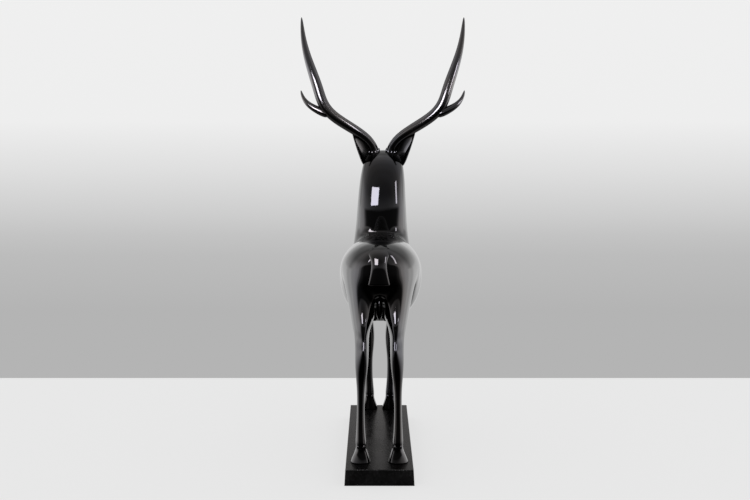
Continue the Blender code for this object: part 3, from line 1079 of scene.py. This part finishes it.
def make_panel(name, corners, material):
    """A flat sheet of the stage."""
    bm = bmesh.new()
    bmesh.ops.contextual_create(bm, geom=[bm.verts.new(corner) for corner in corners])
    mesh = bpy.data.meshes.new(name)
    bm.to_mesh(mesh)
    bm.free()
    panel = bpy.data.objects.new(name, mesh)
    bpy.context.scene.collection.objects.link(panel)
    panel.data.materials.append(material)
    return panel


def grey_ramp(tree, value, stops, steps="EASE"):
    """The grey that (position, grey) pairs give for the value."""
    ramp = add_node(tree, "ShaderNodeValToRGB")
    ramp.color_ramp.interpolation = steps
    elements = ramp.color_ramp.elements
    elements.remove(elements[1])
    for position, grey in stops[1:]:
        elements.new(position).color = (grey, grey, grey, 1)
    position, grey = stops[0]
    elements[0].position = position
    elements[0].color = (grey, grey, grey, 1)
    feed(tree, ramp.inputs["Fac"], value)
    return ramp.outputs["Color"]


def show_mix(tree, mask, first, second, output):
    """Shows the first shader where the mask is 0 and the second where it is 1."""
    mix = add_node(tree, "ShaderNodeMixShader")
    for place, value in enumerate((mask, first.outputs[0], second.outputs[0])):
        feed(tree, mix.inputs[place], value)
    feed(tree, tree.nodes[output].inputs["Surface"], mix.outputs[0])


def floor_material():
    """A pale floor that takes a faint shadow."""
    material, _, shader = new_material("pale_floor")
    colour = tuple(bpy.context.scene.stage.floor_colour)
    shader.inputs["Base Color"].default_value = (*toned(colour, FLOOR_LIT), 1)
    shader.inputs["Roughness"].default_value = 0.8
    shader.inputs["Specular IOR Level"].default_value = 0.0
    shader.inputs["Emission Color"].default_value = (*colour, 1)
    shader.inputs["Emission Strength"].default_value = FLOOR_GLOW
    return material


def backdrop_material():
    """A grey backdrop that glows by itself, paler towards the top, seen from its front alone; the glow
    and its paler top are painted light.
    """
    material, tree, shader = new_material("grey_backdrop")
    place = add_node(tree, "ShaderNodeTexCoord").outputs["Object"]
    height = number(tree, "DIVIDE", split(tree, place)["Z"], BACKDROP_GLOW_HEIGHT)
    glow = add_node(tree, "ShaderNodeEmission")
    feed(tree, glow.inputs["Color"], grey_ramp(tree, height, BACKDROP_GLOW, "LINEAR"))
    clear = add_node(tree, "ShaderNodeBsdfTransparent")
    behind = add_node(tree, "ShaderNodeNewGeometry").outputs["Backfacing"]
    show_mix(tree, behind, glow, clear, "Material Output")
    tree.nodes.remove(shader)
    return material


def add_softbox(name, place, size, glow):
    """A soft lamp that faces the stag and is seen in its mirrors alone."""
    light = bpy.data.lights.new(name, "AREA")
    light.shape = "RECTANGLE"
    light.size, light.size_y = size
    light.energy = glow * math.pi * size[0] * size[1]
    light.color = LAMP_COLOUR
    light.use_nodes = True
    tree = light.node_tree
    depth = add_node(tree, "ShaderNodeLightPath").outputs["Ray Depth"]
    shines = number(tree, "LESS_THAN", depth, LAMP_RAY_DEPTH)
    feed(tree, tree.nodes["Emission"].inputs["Strength"], shines)
    lamp = bpy.data.objects.new(name, light)
    lamp.location = place
    lamp.rotation_euler = (Vector(LAMP_TARGET) - Vector(place)).to_track_quat("-Z", "Y").to_euler()
    lamp.visible_camera = lamp.visible_diffuse = False
    bpy.context.scene.collection.objects.link(lamp)


def studio_world():
    """A pale room to look at. What the bronze mirrors is dim on the far side and behind the camera,
    bright at both sides, and darker overhead and underfoot."""
    world = bpy.data.worlds.new("studio")
    world.use_nodes = True
    tree = world.node_tree
    way = split(tree, add_node(tree, "ShaderNodeTexCoord").outputs["Generated"])
    along = spread(tree, way["Y"], -1, 1, steps="LINEAR")
    horizon = spread(tree, way["Z"], -HORIZON_BLUR, HORIZON_BLUR, steps="LINEAR")
    room = blend(tree, horizon, grey_ramp(tree, along, ROOM_BELOW), grey_ramp(tree, along, ROOM_ABOVE))
    overhead = spread(tree, way["Z"], *OVERHEAD)
    underfoot = spread(tree, way["Z"], *UNDERFOOT)
    mirrored = add_node(tree, "ShaderNodeBackground")
    feed(tree, mirrored.inputs["Color"], room)
    feed(tree, mirrored.inputs["Strength"], number(tree, "MINIMUM", overhead, underfoot))
    seen = tree.nodes["Background"]
    feed(tree, seen.inputs["Color"], grey_ramp(tree, way["Z"], PLAIN_ROOM))
    mirrors = add_node(tree, "ShaderNodeLightPath").outputs["Is Glossy Ray"]
    show_mix(tree, mirrors, seen, mirrored, "World Output")
    return world


class STAG_OT_body(bpy.types.Operator):
    """Builds the stag's trunk, neck, head and legs as one cast form"""

    bl_idname = "stag.body"
    bl_label = "Stag Body"

    def execute(self, context):
        settle(make_body(), "deer", polished_bronze)
        return {"FINISHED"}


class STAG_OT_dewclaws(bpy.types.Operator):
    """Builds the dewclaws behind the fetlocks"""

    bl_idname = "stag.dewclaws"
    bl_label = "Dewclaws"

    def execute(self, context):
        for word, hand_side in SIDES:
            for leg, rows, _, drift in LEGS:
                piece = make_dewclaws(f"dewclaws_{leg}_{word}", rows, hand_side, drift)
                settle(piece, "deer", polished_bronze)
        return {"FINISHED"}


class STAG_OT_tail(bpy.types.Operator):
    """Builds the tail and the purse"""

    bl_idname = "stag.tail"
    bl_label = "Tail"

    def execute(self, context):
        for piece in (make_tail(), make_round("purse", spot(*PURSE_PLACE), PURSE_SIZE)):
            settle(piece, "deer", polished_bronze)
        return {"FINISHED"}


class STAG_OT_head(bpy.types.Operator):
    """Builds the ears and the eyes"""

    bl_idname = "stag.head"
    bl_label = "Ears and Eyes"

    def execute(self, context):
        for word, hand_side in SIDES:
            eye = paired_spot(hand_side, HEAD_DRIFT, EYE_PLACE)
            for piece, finish in (
                # The ears take the paler bronze, whose paler colour is painted light
                (make_ear(f"ear_{word}", hand_side), lit_bronze),
                (make_round(f"eye_{word}", eye, EYE_SIZE), polished_bronze),
                (make_eyelids(f"eyelids_{word}", hand_side), polished_bronze),
            ):
                settle(piece, "deer", finish)
        return {"FINISHED"}


class STAG_OT_antlers(bpy.types.Operator):
    """Builds the two antlers with their tines"""

    bl_idname = "stag.antlers"
    bl_label = "Antlers"

    def execute(self, context):
        for word, hand_side in SIDES:
            antler = make_antler(f"antler_{word}", hand_side)
            burr = make_burr(f"burr_{word}", hand_side)
            # The antlers and their burrs take the paler bronze, whose paler colour is painted light
            for piece in (antler, burr):
                settle(piece, "deer", lit_bronze)
        return {"FINISHED"}


class STAG_OT_plinth(bpy.types.Operator):
    """Builds the plinth"""

    bl_idname = "stag.plinth"
    bl_label = "Plinth"

    def execute(self, context):
        settle(make_plinth(), "plinth", brushed_bronze)
        return {"FINISHED"}


class STAG_OT_stage(bpy.types.Operator):
    """Sets the floor, the backdrop, the lights and the camera"""

    bl_idname = "stag.stage"
    bl_label = "Stage"

    def execute(self, context):
        far = -context.scene.stage.wall_distance
        reach = STAGE_REACH
        corners = ((-reach, -reach, 0), (reach, -reach, 0), (reach, reach, 0), (-reach, reach, 0))
        floor = make_panel("floor", corners, floor_material())
        floor.visible_glossy = False
        top = BACKDROP_HEIGHT
        corners = ((-reach, far, 0), (reach, far, 0), (reach, far, top), (-reach, far, top))
        backdrop = make_panel("backdrop", corners, backdrop_material())
        backdrop.visible_glossy = backdrop.visible_diffuse = backdrop.visible_shadow = False
        context.scene.world = studio_world()
        context.scene.view_settings.view_transform = "Standard"
        for lamp in LAMPS:
            add_softbox(*lamp)
        camera = bpy.data.objects.new("camera", bpy.data.cameras.new("camera"))
        camera.data.sensor_width = CAMERA_SENSOR
        camera.data.lens = CAMERA_LENS
        camera.location = CAMERA_PLACE
        camera.rotation_euler = (math.radians(90 - CAMERA_TILT), 0, math.radians(180))
        context.scene.collection.objects.link(camera)
        context.scene.camera = camera
        return {"FINISHED"}


class STAG_PT_panel(bpy.types.Panel):
    """Lists the stag's pieces and sizes"""

    bl_idname = "STAG_PT_panel"
    bl_label = "Polished Bronze Stag"
    bl_space_type = "VIEW_3D"
    bl_region_type = "UI"
    bl_category = "Stag"

    def draw(self, context):
        layout = self.layout
        for name in ("stag", "plinth", "stage"):
            group = getattr(context.scene, name)
            box = layout.box()
            for prop in group.bl_rna.properties.keys():
                if prop not in ("rna_type", "name"):
                    box.prop(group, prop)
        for operator in OPERATORS:
            layout.operator(operator.bl_idname)


OPERATORS = (
    STAG_OT_body,
    STAG_OT_dewclaws,
    STAG_OT_tail,
    STAG_OT_head,
    STAG_OT_antlers,
    STAG_OT_plinth,
    STAG_OT_stage,
)
SETTINGS = (("stag", StagSettings), ("plinth", PlinthSettings), ("stage", StageSettings))


def register():
    for name, group in SETTINGS:
        bpy.utils.register_class(group)
        setattr(bpy.types.Scene, name, bpy.props.PointerProperty(type=group))
    for operator in OPERATORS:
        bpy.utils.register_class(operator)
    bpy.utils.register_class(STAG_PT_panel)


def unregister():
    bpy.utils.unregister_class(STAG_PT_panel)
    for operator in reversed(OPERATORS):
        bpy.utils.unregister_class(operator)
    for name, group in reversed(SETTINGS):
        delattr(bpy.types.Scene, name)
        bpy.utils.unregister_class(group)


def main():
    register()
    bpy.ops.stag.body()
    bpy.ops.stag.dewclaws()
    bpy.ops.stag.tail()
    bpy.ops.stag.head()
    bpy.ops.stag.antlers()
    bpy.ops.stag.plinth()
    bpy.ops.stag.stage()


if __name__ == "__main__":
    main()
